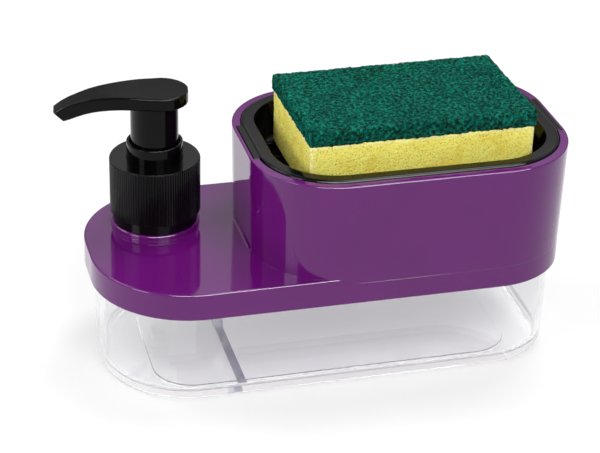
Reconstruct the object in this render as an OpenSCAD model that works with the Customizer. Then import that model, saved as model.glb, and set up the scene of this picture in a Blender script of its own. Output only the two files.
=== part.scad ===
// Soap pump caddy: a clear soap tank, a lid that carries a lotion pump and a sponge basin,
// a drip tray that hangs in the basin, and a two-layer sponge.
// Millimetres. The origin is on the table, at the centre of the footprint.
// +X runs towards the sponge, -Y is the front and +Z is up.

/* [Lid] */
// Length of the lid, which is the length of the footprint
lid_length = 190; // [175:1:230]
// Width of the lid
lid_width = 90.8; // [86:0.2:110]
// Corner radius of the lid at the pump end
pump_end_radius = 39; // [32:0.5:41]
// Corner radius of the lid and of the basin at the sponge end
sponge_end_radius = 33.2; // [24:0.2:40]
// Wall of the skirt that hangs over the tank's rim
skirt_wall = 2; // [1.6:0.1:2.6]
// Height of the skirt, from its lower edge to the platform's top face
skirt_height = 10.9; // [8:0.1:16]
// Thickness of the platform
platform_thickness = 2; // [1.6:0.1:3]
// Rounding of the platform's outer edge
platform_edge = 0.8; // [0.3:0.1:1.2]
// Thickness of the lip that locates the lid inside the tank's rim
lip_thickness = 1.4; // [1:0.1:2]
// Depth of that lip below the platform
lip_depth = 3; // [2:0.5:6]

/* [Tank] */
// Height of the tank from the table to its rim
tank_height = 47.3; // [42:0.1:80]
// Wall of the tank
tank_wall = 2; // [1.5:0.1:3]
// Thickness of the tank's floor
tank_floor = 2.4; // [1.8:0.1:3]
// How far the tank's sides lean out from foot to rim
tank_lean = 1.7; // [0.5:0.05:3]
// Rounding of the tank's foot
tank_foot_round = 2.2; // [1:0.1:7]
// Rounding between the tank's floor and its inner wall
tank_inner_round = 3.5; // [1:0.5:5]
// Gap all round between the tank and the lid's skirt and lip
tank_gap = 0.3; // [0.2:0.05:0.6]
// Height of the raised panel in the tank's floor
panel_height = 0.8; // [0.4:0.1:1.2]
// Distance from that panel to the lid's two ends
panel_end_inset = 22; // [18:0.5:30]
// Distance from that panel to the lid's long sides
panel_side_inset = 10.4; // [10:0.2:16]
// Corner radius of that panel
panel_radius = 16; // [10:0.5:20]

/* [Baffle] */
// Thickness of the clear baffle plate
baffle_thickness = 3.2; // [2:0.1:4]
// Distance from the pump's axis to the middle of the baffle, towards the sponge
baffle_offset = 23.35; // [14:0.05:30]
// Height of the baffle's sill over the floor's panel, in the front part of the tank
sill_height = 1; // [0.8:0.1:6]
// Distance behind the tank's centre line at which the high part of the baffle starts
baffle_start = 4.5; // [-10:0.5:20]
// Space left between the top of the baffle and the tank's rim
baffle_headroom = 5; // [4:0.5:20]

/* [Sponge basin] */
// Space between the pump's cap and the basin's foot
pump_room = 13.85; // [8:0.05:26]
// Height of the basin's rim over the platform
basin_height = 40.2; // [30:0.2:60]
// Corner radius of the basin at the pump side, at its foot
basin_radius = 32.4; // [26:0.2:40]
// How far the basin's sides lean out from the platform's underside to the rim
basin_lean = 0.9; // [0.3:0.1:2]
// Wall of the basin
basin_wall = 2.2; // [1.6:0.1:2.8]
// Width of the rim's top face beside the tray
rim_width = 3.3; // [3:0.1:4.5]
// Rounding of the rim's outer edge
rim_edge = 0.6; // [0.3:0.1:1]
// Depth of the tray's seat below the rim
seat_depth = 2.2; // [1.5:0.1:2.8]
// Width of the seat that carries the tray
seat_width = 2; // [1.5:0.1:2.5]
// Thickness of the seat, before it runs down into the wall at 45 degrees
seat_thickness = 1.5; // [1:0.1:3]
// Rounding where the basin's foot meets the platform
basin_foot_round = 1; // [0.5:0.1:2]
// Wall left outside the notches for the tray's lugs
notch_wall = 1.2; // [0.8:0.1:2]

/* [Sponge tray] */
// Width of the tray's flange, from its outer edge to the bowl
flange_width = 5.2; // [4.5:0.1:7]
// Thickness of the flange
flange_thickness = 3; // [2.4:0.1:4]
// Rounding of the flange's outer edge
flange_edge = 1.2; // [0.5:0.1:1.6]
// Depth of the bowl, from the top of the flange to its floor
bowl_depth = 16.4; // [12:0.2:22]
// Wall of the bowl
bowl_wall = 1.8; // [1.4:0.1:2]
// Thickness of the bowl's floor
bowl_floor = 2; // [1.5:0.1:3]
// How far the bowl's sides lean in from flange to floor
bowl_lean = 1.5; // [0.5:0.1:3]
// Rounding between the bowl's floor and its wall
bowl_round = 3; // [1:0.5:5]
// Gap between the tray's flange and the basin's rim
tray_gap = 0.35; // [0.25:0.05:0.6]
// Width of the lugs at the tray's two ends
lug_width = 30; // [16:0.5:34]
// Height of the ribs that hold the sponge off the bowl's floor
rib_height = 1.6; // [1:0.1:3]
// Width of those ribs
rib_width = 2; // [1.5:0.1:3]
// Distance between the ribs, centre to centre
rib_pitch = 13; // [10:0.5:18]
// Width of the drain slots between the ribs
slot_width = 3; // [2:0.1:4]
// Length of each drain slot
slot_length = 17; // [10:0.5:20]
// Distance between drain slots in a row, centre to centre
slot_pitch = 24; // [22:0.5:30]

/* [Sponge] */
// Space between the ends of the bowl's floor and the sponge
sponge_end_room = 8.8; // [5:0.1:20]
// Space between the long sides of the bowl's floor and the sponge
sponge_side_room = 8.05; // [3:0.05:14]
// Thickness of the yellow foam
foam_thickness = 23; // [15:0.2:30]
// Thickness of the green scouring pad
pad_thickness = 5.8; // [4:0.1:8]
// Distance from the middle of the bowl to the middle of the sponge
sponge_shift = 0.7; // [-2:0.05:2]
// Angle by which the sponge lies askew in its tray
sponge_turn = 0.8; // [-1:0.1:1]
// Gap between the sponge and the ribs that it lies on
sponge_gap = 0.3; // [0.2:0.05:0.5]

/* [Pump collar and cap] */
// Distance from the lid's pump end to the pump's axis
pump_inset = 30.45; // [28:0.05:34]
// Distance of the pump's axis behind the centre line
pump_back = 17.4; // [10:0.2:18]
// Radius of the low boss under the cap
boss_radius = 17.8; // [17.5:0.1:20]
// Height of that boss
boss_height = 2.2; // [1:0.1:4]
// Outer radius of the neck, at the root of its thread
neck_radius = 14.6; // [14:0.1:14.8]
// Wall of the neck
neck_wall = 1.8; // [1.5:0.1:1.8]
// Room left for the thread between neck and cap
thread_room = 1.2; // [1:0.1:1.4]
// Radius over the cap's ribs
cap_radius = 18.1; // [17.8:0.1:19]
// Radius of the cap's plain lower band
cap_band_radius = 17.2; // [16.8:0.1:17.5]
// Height of that band
cap_band_height = 4; // [2:0.2:6]
// Height of the cap
cap_height = 26.8; // [24:0.2:30]
// Thickness of the cap's top plate
cap_plate = 2; // [1.5:0.1:3]
// Number of grip ribs round the cap
cap_ribs = 105; // [60:1:120]
// Depth of the grip ribs
cap_rib_depth = 0.35; // [0.2:0.05:0.6]
// Height of the plain bevel ring above the ribs
cap_bevel = 0.5; // [0.3:0.1:1]
// Gap between the cap and the boss
cap_gap = 0.3; // [0.2:0.05:0.5]
// Thickness of the soft gasket on the neck
gasket_thickness = 1.2; // [0.8:0.1:2]

/* [Locking ring] */
// Outer radius of the ring that stands out of the cap
ring_radius = 11.2; // [11:0.1:12]
// Wall of the ring
ring_wall = 1.1; // [0.9:0.1:1.2]
// Height of the ring over the cap
ring_height = 7.1; // [4:0.1:10]
// Rounding of the ring's top edge
ring_edge = 0.4; // [0.2:0.1:0.5]
// Thickness of the ring's flange under the cap
ring_flange = 1.8; // [1.4:0.1:2.4]
// Space left between the ring's well and the head's shroud at the end of the stroke
stroke_room = 3.5; // [2:0.1:4]
// Thickness of the well's floor
ring_floor = 1.5; // [1:0.1:2]

/* [Pump cylinder] */
// Thickness of the flange that hangs the cylinder on the neck
cylinder_flange = 1.8; // [1.4:0.1:2.4]
// Depth of the cylinder's wide cup, from the flange's top
cup_depth = 8.8; // [8.6:0.1:10]
// Wall of the cup
cup_wall = 1; // [0.8:0.1:1.2]
// Radius of the barrel's bore
barrel_radius = 7; // [6.8:0.1:7.4]
// Wall of the barrel
barrel_wall = 1.2; // [1:0.1:1.6]
// Depth of the barrel's floor below the flange's underside
barrel_depth = 43; // [42:0.5:45]
// Outer radius of the valve cage and tube socket below the barrel
socket_radius = 4.6; // [4.4:0.1:5]
// Length of the tube socket
socket_length = 9.5; // [8:0.5:11]
// Radius of the inlet ball
ball_radius = 2.4; // [2.2:0.1:2.5]
// Lift of the inlet ball
ball_lift = 1.3; // [0.8:0.1:1.4]
// Side room round the ball in its cage
cage_room = 0.6; // [0.4:0.1:0.8]
// Height of the throat that keeps the ball in its cage
throat_height = 1; // [0.8:0.1:1.1]
// Outer radius of the dip tube
tube_radius = 2.9; // [2.6:0.1:3.1]
// Wall of the dip tube
tube_wall = 0.8; // [0.6:0.1:1]
// Space between the dip tube's open end and the tank's floor
tube_room = 3; // [1:0.1:5]

/* [Piston and spring] */
// Stroke of the pump
pump_stroke = 11.5; // [8:0.5:12.5]
// Outer radius of the stem
stem_radius = 3.9; // [3.6:0.1:4.1]
// Wall of the stem
stem_wall = 1.5; // [1.2:0.1:1.7]
// Radius of the ports in the stem's side
port_radius = 1; // [0.8:0.1:1.2]
// Height of the piston's seal
seal_height = 8; // [6:0.5:9]
// Depth of the seal's hollow ends
seal_hollow = 2.5; // [1:0.5:2.5]
// Thickness of the seal's thin lips
seal_lip = 0.7; // [0.5:0.1:1]
// Radius of the stem's collar and of the plug's head
collar_radius = 5.4; // [5:0.1:5.8]
// Thickness of the stem's collar
collar_height = 1.5; // [1:0.1:2]
// Thickness of the plug's head
plug_height = 3; // [2:0.5:4]
// Length of the plug's pin inside the stem
plug_pin = 4; // [3:0.5:6]
// Length of the return spring at rest
spring_length = 21; // [19:0.5:21.5]
// Mean radius of the spring's coil
spring_radius = 5; // [4.6:0.1:5.6]
// Radius of the spring's wire
spring_wire = 0.45; // [0.3:0.05:0.5]
// Number of turns of the spring
spring_turns = 7; // [5:1:9]

/* [Pump head] */
// Outer radius of the head's shroud
shroud_radius = 9.48; // [9:0.02:9.6]
// Wall of the shroud
shroud_wall = 1.3; // [1:0.1:1.6]
// Length of the shroud below the paddle
shroud_length = 19.5; // [18:0.1:19.5]
// Distance from the pump's axis to the nozzle's tip
head_reach = 39.3; // [30:0.1:46]
// Distance from the pump's axis to the back of the paddle
head_back = 13.5; // [11:0.1:15]
// Half the paddle's greatest width
head_half_width = 11; // [10.4:0.1:12.5]
// Thickness of the paddle over the shroud
head_thickness = 5.4; // [4.5:0.1:6]
// Fall of the nozzle, from the head's highest point to the tip's lowest
head_fall = 12; // [9:0.1:13]
// Rounding of the paddle's edges
head_edge = 0.8; // [0.4:0.1:1.2]
// Angle by which the nozzle points backwards from the caddy's long axis
nozzle_turn = 9; // [0:1:30]
// Radius of the soap channel in the nozzle
channel_radius = 1.1; // [1:0.1:1.5]
// Length of the outlet bore drilled in from the tip
outlet_length = 14; // [12:0.5:16]
// Height of the paddle's underside over the cap's top
head_lift = 23.9; // [23.5:0.1:26]
// Outer radius of the socket that grips the stem
grip_radius = 5.6; // [5.4:0.1:6]
// Length of that socket below the paddle
grip_length = 14; // [10:0.5:16]
// Cover left over the stem's end, below the paddle's top
stem_cover = 6.4; // [5.5:0.1:8]

/* [Hidden] */
$fn = 96;

// Overrun of every cut, and the close fits inside the pump
cut = 1;
run_gap = 0.05;
fit_gap = 0.1;

purple = "#6A2F72";
gloss_black = "#141416";
satin_black = "#1C1C1E";
clear = [0.88, 0.92, 0.95, 0.45];
white = "#ECECE8";

// A plan is [left end, right end, half width, left corner radius, right corner radius]
lid_plan = [-lid_length / 2, lid_length / 2, lid_width / 2, pump_end_radius, sponge_end_radius];
function plan_in(p, d) = [p[0] + d, p[1] - d, p[2] - d, p[3] - d, p[4] - d];
pump_axis = [pump_inset - lid_length / 2, pump_back, 0];

// Heights
platform_top = tank_height + platform_thickness;
skirt_foot = platform_top - skirt_height;
rim_top = platform_top + basin_height;
seat_top = rim_top - seat_depth;

// Tank: its foot lies inside the lid's outline by the skirt, the gap and the lean
tank_plan = plan_in(lid_plan, skirt_wall + tank_gap + tank_lean);
cavity_height = tank_height - tank_floor;
cavity_lean = tank_lean * cavity_height / tank_height;
cavity_plan = plan_in(tank_plan, tank_wall - tank_lean + cavity_lean);
tank_mouth_plan = plan_in(cavity_plan, -cavity_lean);
lip_plan = plan_in(tank_mouth_plan, tank_gap);
panel_reach = lid_length / 2 - panel_end_inset;
panel_plan = [-panel_reach, panel_reach, lid_width / 2 - panel_side_inset, panel_radius, panel_radius];

// Basin: it shares the lid's outline at the sponge end, and leans out from the platform's underside
basin_rise = rim_top - tank_height;
basin_left = pump_axis[0] + cap_radius + pump_room;
basin_plan = [basin_left, lid_length / 2, lid_width / 2, basin_radius, sponge_end_radius];
rim_plan = plan_in(basin_plan, -basin_lean);
seat_foot = seat_top - seat_thickness;
corbel_foot = seat_foot - (rim_width + seat_width - basin_wall);
chamber_plan = plan_in(basin_plan, basin_wall - basin_lean * platform_thickness / basin_rise);
chamber_lean = basin_lean * (corbel_foot - platform_top) / basin_rise;
recess_plan = plan_in(rim_plan, rim_width);
recess_step = chamber_plan[2] - recess_plan[2];
seat_step = recess_step + seat_width;
notch_length = rim_width - notch_wall;

// Tray
flange_plan = plan_in(recess_plan, tray_gap);
flange_top = seat_top + flange_thickness;
bowl_plan = plan_in(flange_plan, flange_width);
bowl_floor_top = flange_top - bowl_depth;
bowl_foot_plan = plan_in(bowl_plan, bowl_lean);
rib_top = bowl_floor_top + rib_height;
bowl_centre = (bowl_plan[0] + bowl_plan[1]) / 2;
rib_rows = 5;
slot_columns = 4;

// Sponge
foam_foot = rib_top + sponge_gap;
pad_foot = foam_foot + foam_thickness;
sponge_length = bowl_foot_plan[1] - bowl_foot_plan[0] - 2 * sponge_end_room;
sponge_width = 2 * (bowl_foot_plan[2] - sponge_side_room);

// Pump stack, from the boss up
boss_top = platform_top + boss_height;
cap_foot = boss_top + cap_gap;
cap_top = cap_foot + cap_height;
cap_ceiling = cap_top - cap_plate;
ring_flange_foot = cap_ceiling - ring_flange;
cylinder_flange_foot = ring_flange_foot - cylinder_flange;
neck_top = cylinder_flange_foot - gasket_thickness;
neck_bore = neck_radius - neck_wall;
cap_bore = neck_radius + thread_room;
flange_radius = cap_bore - cap_gap;
ring_top = cap_top + ring_height;
head_foot = cap_top + head_lift;
head_top = head_foot + head_thickness;
shroud_foot = head_foot - shroud_length;
well_floor = shroud_foot - pump_stroke - stroke_room;
well_bore = ring_radius - ring_wall;

// Cylinder
cup_radius = neck_bore - cap_gap;
cup_bore = cup_radius - cup_wall;
cup_floor = ring_flange_foot - cup_depth;
well_radius = cup_bore - fit_gap;
barrel_floor = cylinder_flange_foot - barrel_depth;
throat_share = 0.94;
seat_hole_share = 0.62;
cage_bore = ball_radius + cage_room;
throat_radius = ball_radius * throat_share;
seat_hole = ball_radius * seat_hole_share;
cage_top = barrel_floor - throat_height;
ball_top_centre = cage_top - sqrt(ball_radius ^ 2 - throat_radius ^ 2) - run_gap;
ball_centre = ball_top_centre - ball_lift;
ball_contact = ball_radius * cos(45);
ball_seat_foot = ball_centre - fit_gap - ball_contact - (ball_contact - seat_hole);
socket_top = ball_seat_foot - barrel_wall - ball_radius;
socket_foot = socket_top - socket_length;
tube_foot = tank_floor + panel_height + tube_room;

// Moving parts
plug_foot = barrel_floor + spring_length;
seal_foot = plug_foot + plug_height + run_gap;
collar_foot = seal_foot + seal_height + run_gap;
stem_top = head_top - stem_cover;
stem_bore = stem_radius - stem_wall;
grip_bore = stem_radius + run_gap;
channel_share = 0.36;
channel_height = head_foot + head_thickness * channel_share;
shroud_share = 0.25;
shroud_top = head_foot + head_thickness * shroud_share;

// Vertical section of a block whose side leans out by lean over its height, with rounded edges
module half_section(reach, height, lean = 0, foot_round = 0, top_round = 0) {
    tilt = atan(lean / height);
    foot_x = reach + foot_round * tan(tilt) - foot_round / cos(tilt);
    top_z = height - top_round;
    top_x = reach + lean * top_z / height - top_round / cos(tilt);
    polygon([
        [0, 0],
        [foot_x, 0],
        [foot_x + foot_round * cos(tilt), foot_round - foot_round * sin(tilt)],
        [top_x + top_round * cos(tilt), top_z - top_round * sin(tilt)],
        [top_x, height],
        [0, height]]);
    if (foot_round > 0)
        translate([foot_x, foot_round]) circle(foot_round);
    if (top_round > 0)
        translate([top_x, top_z]) circle(top_round);
}

// Sweeps a half section over a plan: a turned sector at each corner, and three straight bars
// between them. The section reads $reach, which is its width at that place
module plan_sweep(p) {
    left_x = p[0] + p[3];
    right_x = p[1] - p[4];
    left_y = p[2] - p[3];
    right_y = p[2] - p[4];
    corners = [
        [right_x, right_y, p[4]],
        [left_x, left_y, p[3]],
        [left_x, -left_y, p[3]],
        [right_x, -right_y, p[4]]];
    for (i = [0 : 3])
        translate([corners[i][0], corners[i][1], 0])
            rotate(90 * i)
                rotate_extrude(angle = 90) {
                    $reach = corners[i][2];
                    children();
                }
    translate([left_x, 0, 0])
        rotate([90, 0, 90])
            linear_extrude(right_x - left_x)
                for (side = [0, 1])
                    mirror([side, 0]) {
                        $reach = p[2];
                        children();
                    }
    translate([left_x, -left_y, 0])
        rotate([90, 0, 180])
            linear_extrude(2 * left_y) {
                $reach = p[3];
                children();
            }
    translate([right_x, right_y, 0])
        rotate([90, 0, 0])
            linear_extrude(2 * right_y) {
                $reach = p[4];
                children();
            }
}

module plan_block(p, height, lean = 0, foot_round = 0, top_round = 0) {
    plan_sweep(p)
        half_section($reach, height, lean, foot_round, top_round);
}

module at_height(z) {
    translate([0, 0, z]) children();
}

module disc(radius, from, to) {
    at_height(from) cylinder(r = radius, h = to - from);
}

module tube(radius, bore, from, to) {
    difference() {
        disc(radius, from, to);
        disc(bore, from - cut, to + cut);
    }
}

// Space inside the tank over its floor and the floor's raised panel, drawn in all round by a gap
module tank_cavity(gap = 0, extra = 0) {
    difference() {
        at_height(tank_floor)
            plan_block(plan_in(cavity_plan, gap), cavity_height + extra,
                cavity_lean * (cavity_height + extra) / cavity_height, tank_inner_round);
        at_height(tank_floor - cut)
            plan_block(plan_in(panel_plan, -gap), panel_height + cut, 0, 0, panel_height / 2);
    }
}

module tank() {
    color(clear)
        difference() {
            plan_block(tank_plan, tank_height, tank_lean, tank_foot_round);
            tank_cavity(0, cut);
        }
}

// Clear plate across the tank: a low sill in front, and full height behind
module tank_baffle() {
    color("#7F8796")
        intersection() {
            tank_cavity(fit_gap);
            translate([pump_axis[0] + baffle_offset - baffle_thickness / 2, 0, 0])
                union() {
                    translate([0, -lid_width, 0])
                        cube([baffle_thickness, lid_width * 2, tank_floor + panel_height + sill_height]);
                    translate([0, baffle_start, 0])
                        cube([baffle_thickness, lid_width, tank_height - baffle_headroom]);
                }
        }
}

// Concave rounding round the basin's foot, on the platform
module basin_foot_fillet() {
    p = plan_in(basin_plan, -basin_lean * platform_thickness / basin_rise);
    inset = basin_foot_round;
    left_y = p[2] - p[3];
    module corner_section() {
        difference() {
            translate([-inset, -inset]) square([2 * inset, 2 * inset]);
            translate([inset, inset]) circle(inset);
        }
    }
    intersection() {
        plan_block(lid_plan, rim_top, 0);
        at_height(platform_top)
            union() {
                for (side = [0, 1])
                    translate([p[0] + p[3], (2 * side - 1) * -left_y, 0])
                        rotate(180 - 90 * side)
                            rotate_extrude(angle = 90)
                                translate([p[3], 0]) corner_section();
                translate([p[0], left_y, 0])
                    rotate([90, 0, 0])
                        linear_extrude(2 * left_y)
                            mirror([1, 0]) corner_section();
            }
    }
}

module lid() {
    color(purple)
        difference() {
            union() {
                difference() {
                    at_height(skirt_foot)
                        plan_block(lid_plan, skirt_height, 0, 0, platform_edge);
                    at_height(skirt_foot - cut)
                        plan_block(plan_in(lid_plan, skirt_wall), tank_height - skirt_foot + cut);
                }
                difference() {
                    at_height(tank_height - lip_depth)
                        plan_block(lip_plan, lip_depth + platform_thickness / 2);
                    at_height(tank_height - lip_depth - cut)
                        plan_block(plan_in(lip_plan, lip_thickness), lip_depth + cut);
                }
                at_height(tank_height)
                    plan_block(basin_plan, basin_rise, basin_lean, 0, rim_edge);
                basin_foot_fillet();
                translate(pump_axis) {
                    at_height(tank_height)
                        rotate_extrude()
                            half_section(boss_radius, boss_top - tank_height, 0, 0, platform_edge);
                    disc(neck_radius, tank_height, neck_top);
                }
            }
            basin_hollow();
            translate(pump_axis)
                disc(neck_bore, tank_height - cut, neck_top + cut);
        }
}

// Half section of the room inside the basin, from the platform up: the chamber, the corbel that
// carries the tray's seat, the seat and the recess over it
module hollow_section(reach) {
    polygon([
        [0, platform_top],
        [reach, platform_top],
        [reach + chamber_lean, corbel_foot],
        [reach - seat_step, seat_foot],
        [reach - seat_step, seat_top],
        [reach - recess_step, seat_top],
        [reach - recess_step, rim_top + cut],
        [0, rim_top + cut]]);
}

// Room inside the basin, with the notches for the tray's lugs
module basin_hollow() {
    plan_sweep(chamber_plan)
        hollow_section($reach);
    notch = lug_width + 2 * tray_gap;
    translate([recess_plan[0] - notch_length, -notch / 2, seat_top])
        cube([recess_plan[1] - recess_plan[0] + 2 * notch_length, notch, seat_depth + cut]);
}

module drain_slot() {
    straight = slot_length - slot_width;
    translate([-straight / 2, -slot_width / 2, bowl_floor_top - bowl_floor - cut])
        cube([straight, slot_width, bowl_floor + 2 * cut]);
    for (side = [-1, 1])
        translate([side * straight / 2, 0, bowl_floor_top - bowl_floor - cut])
            cylinder(r = slot_width / 2, h = bowl_floor + 2 * cut);
}

module sponge_tray() {
    lug = lug_width;
    lug_reach = notch_length - tray_gap;
    outer_round = bowl_round + bowl_wall;
    rib_length = slot_pitch * slot_columns;
    color(gloss_black) {
        difference() {
            union() {
                at_height(seat_top)
                    plan_block(flange_plan, flange_thickness, 0, 0, flange_edge);
                translate([recess_plan[0] - lug_reach, -lug / 2, seat_top])
                    cube([recess_plan[1] - recess_plan[0] + 2 * lug_reach, lug,
                        flange_thickness - flange_edge / 2]);
                at_height(bowl_floor_top - bowl_floor)
                    plan_block(plan_in(bowl_foot_plan, -bowl_wall),
                        bowl_depth + bowl_floor - flange_thickness / 2, bowl_lean, outer_round);
            }
            at_height(bowl_floor_top)
                plan_block(bowl_foot_plan, bowl_depth + cut,
                    bowl_lean * (bowl_depth + cut) / bowl_depth, bowl_round);
            for (row = [0 : rib_rows - 2])
                for (column = [0 : slot_columns - 1])
                    translate([bowl_centre + (column - (slot_columns - 1) / 2) * slot_pitch,
                            (row - (rib_rows - 2) / 2) * rib_pitch, 0])
                        drain_slot();
        }
        for (row = [0 : rib_rows - 1])
            translate([bowl_centre - rib_length / 2, (row - (rib_rows - 1) / 2) * rib_pitch - rib_width / 2,
                    bowl_floor_top - bowl_floor / 2])
                cube([rib_length, rib_width, bowl_floor / 2 + rib_height]);
    }
}

module sponge_layer(foot, thickness) {
    translate([bowl_centre + sponge_shift, 0, foot])
        rotate(sponge_turn)
            translate([-sponge_length / 2, -sponge_width / 2, 0])
                cube([sponge_length, sponge_width, thickness]);
}

module sponge_foam() {
    color("#E4D05C") sponge_layer(foam_foot, foam_thickness);
}

module scouring_pad() {
    color("#0E5F52") sponge_layer(pad_foot, pad_thickness);
}

// Outline of the ribbed skirt: each rib is a small trapezoid, four points to a rib
rib_slope_share = 0.1;
function rib_point(i) =
    let (radius = i % 4 < 2 ? cap_radius : cap_radius - cap_rib_depth,
        shift = i % 2 == 0 ? rib_slope_share : -rib_slope_share,
        angle = 90 * (i + shift) / cap_ribs)
    [radius * cos(angle), radius * sin(angle)];

module screw_cap() {
    rib_top = cap_top - cap_bevel;
    color(satin_black)
        translate(pump_axis)
            difference() {
                union() {
                    disc(cap_band_radius, cap_foot, cap_foot + cap_band_height);
                    at_height(cap_foot + cap_band_height)
                        linear_extrude(rib_top - cap_foot - cap_band_height)
                            polygon([for (i = [0 : 4 * cap_ribs - 1]) rib_point(i)]);
                    disc(cap_radius - cap_rib_depth, rib_top, cap_top);
                }
                disc(cap_bore, cap_foot - cut, cap_ceiling);
                disc(ring_radius + fit_gap, cap_ceiling - cut, cap_top + cut);
            }
}

module locking_ring() {
    color(gloss_black)
        translate(pump_axis)
            difference() {
                union() {
                    at_height(ring_flange_foot)
                        rotate_extrude()
                            half_section(ring_radius, ring_top - ring_flange_foot, 0, 0, ring_edge);
                    disc(flange_radius, ring_flange_foot, cap_ceiling);
                    disc(well_radius, well_floor - ring_floor, ring_flange_foot + ring_flange / 2);
                }
                disc(well_bore, well_floor, ring_top + cut);
                disc(stem_radius + run_gap, well_floor - ring_floor - cut, well_floor + cut);
            }
}

module neck_gasket() {
    color("#B9B9B4")
        translate(pump_axis)
            tube(neck_radius, neck_bore, neck_top, cylinder_flange_foot);
}

module pump_cylinder() {
    color(white)
        translate(pump_axis)
            difference() {
                union() {
                    disc(flange_radius, cylinder_flange_foot, ring_flange_foot);
                    disc(cup_radius, cup_floor - cup_wall, cylinder_flange_foot + cylinder_flange / 2);
                    disc(barrel_radius + barrel_wall, barrel_floor - barrel_wall, cup_floor);
                    disc(socket_radius, socket_foot, barrel_floor);
                }
                disc(cup_bore, cup_floor, ring_flange_foot + cut);
                disc(barrel_radius, barrel_floor, cup_floor + cut);
                disc(throat_radius, cage_top - cut, barrel_floor + cut);
                disc(cage_bore, ball_seat_foot + cage_bore - seat_hole, cage_top);
                at_height(ball_seat_foot)
                    cylinder(r1 = seat_hole, r2 = cage_bore, h = cage_bore - seat_hole);
                disc(seat_hole, socket_top - cut, ball_seat_foot + cut);
                disc(tube_radius + run_gap, socket_foot - cut, socket_top);
            }
}

module dip_tube() {
    color(white)
        translate(pump_axis)
            tube(tube_radius, tube_radius - tube_wall, tube_foot, socket_top - fit_gap);
}

module inlet_ball() {
    color("silver")
        translate(pump_axis)
            at_height(ball_centre) sphere(ball_radius);
}

// One unbroken helix of wire: rings of points along the coil, joined by quads
module return_spring() {
    sides = 6;
    steps = 16 * spring_turns;
    rise = spring_length - 2 * spring_wire - 2 * run_gap;
    function wire_point(i, k) =
        let (turn = 360 * spring_turns * i / steps, around = 360 * k / sides,
            reach = spring_radius + spring_wire * cos(around))
        [reach * cos(turn), reach * sin(turn), rise * i / steps + spring_wire * sin(around)];
    points = [for (i = [0 : steps]) for (k = [0 : sides - 1]) wire_point(i, k)];
    walls = [for (i = [0 : steps - 1]) for (k = [0 : sides - 1])
        [i * sides + k, i * sides + (k + 1) % sides, (i + 1) * sides + (k + 1) % sides, (i + 1) * sides + k]];
    ends = [[for (k = [sides - 1 : -1 : 0]) k], [for (k = [0 : sides - 1]) steps * sides + k]];
    color("silver")
        translate(pump_axis)
            at_height(barrel_floor + spring_wire + run_gap)
                polyhedron(points, concat(walls, ends));
}

module piston_seal() {
    color(white)
        translate(pump_axis)
            difference() {
                disc(barrel_radius - run_gap, seal_foot, seal_foot + seal_height);
                disc(stem_radius + run_gap, seal_foot - cut, seal_foot + seal_height + cut);
                for (foot = [seal_foot - cut, seal_foot + seal_height - seal_hollow])
                    tube(barrel_radius - run_gap - seal_lip, collar_radius, foot, foot + seal_hollow + cut);
            }
}

module stem_plug() {
    color(white)
        translate(pump_axis) {
            disc(collar_radius, plug_foot, plug_foot + plug_height);
            disc(stem_bore - run_gap, plug_foot, plug_foot + plug_height + plug_pin);
        }
}

module stem() {
    stem_foot = plug_foot + plug_height;
    port_height = stem_foot + plug_pin + 2 * port_radius;
    color(white)
        translate(pump_axis)
            difference() {
                union() {
                    disc(stem_radius, stem_foot, stem_top);
                    disc(collar_radius, collar_foot, collar_foot + collar_height);
                }
                disc(stem_bore, stem_foot - cut, stem_top + cut);
                at_height(port_height)
                    rotate([90, 0, 0])
                        cylinder(r = port_radius, h = 4 * stem_radius, center = true);
            }
}

// Stations along the head, as shares: place along the top edge and along the bottom edge (of the
// reach), half width (of the paddle's), and how far top and bottom have fallen (of the whole fall)
head_shares = [
    [0.05, 0.05, 0.955, 0.015, 0.442],
    [0.15, 0.15, 0.9, 0.006, 0.449],
    [0.25, 0.25, 0.825, 0.01, 0.461],
    [0.35, 0.345, 0.745, 0.024, 0.483],
    [0.45, 0.435, 0.675, 0.051, 0.518],
    [0.55, 0.525, 0.61, 0.096, 0.566],
    [0.65, 0.61, 0.545, 0.163, 0.63],
    [0.75, 0.69, 0.48, 0.263, 0.717],
    [0.85, 0.77, 0.42, 0.38, 0.826],
    [0.93, 0.835, 0.38, 0.513, 0.925],
    [1, 0.896, 0.34, 0.673, 1]];
back_steps = 7;
widest_share = 0.22;
fall_start_share = 0.03;

// The paddle's round back, as stations of the same kind
function back_station(i) =
    let (angle = 90 * i / back_steps,
        place = -head_back * (widest_share + (1 - widest_share) * cos(angle)),
        fall = fall_start_share * head_fall * (1 + cos(angle)) / 2)
    [place, place, head_half_width * sin(angle), fall, head_thickness];
function front_station(s) =
    [s[0] * head_reach, s[1] * head_reach, s[2] * head_half_width, s[3] * head_fall, s[4] * head_fall];
head_stations = concat(
    [for (i = [1 : back_steps]) back_station(i)],
    [for (s = head_shares) front_station(s)]);

// Points of one station: a rounded rectangle between its top and its bottom
corner_steps = 3;
function station_points(s) =
    let (round = min(head_edge, s[2] / 2), depth = s[4] - s[3])
    [for (corner = [0 : 3]) for (j = [0 : corner_steps])
        let (angle = 90 * corner + 90 * j / corner_steps,
            side = corner == 0 || corner == 3 ? 1 : -1,
            up = corner < 2 ? 1 : -1,
            across = side * (s[2] - round) + round * cos(angle),
            down = depth / 2 - up * (depth / 2 - round) - round * sin(angle))
        [s[0] + (s[1] - s[0]) * down / depth, across, head_top - s[3] - down]];

module head_body() {
    ring = 4 * (corner_steps + 1);
    last = len(head_stations) - 1;
    points = [for (s = head_stations) each station_points(s)];
    walls = [for (i = [0 : last - 1]) for (k = [0 : ring - 1])
        [i * ring + k, (i + 1) * ring + k, (i + 1) * ring + (k + 1) % ring, i * ring + (k + 1) % ring]];
    ends = [[for (k = [0 : ring - 1]) k], [for (k = [ring - 1 : -1 : 0]) last * ring + k]];
    polyhedron(points, concat(walls, ends));
}

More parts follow.
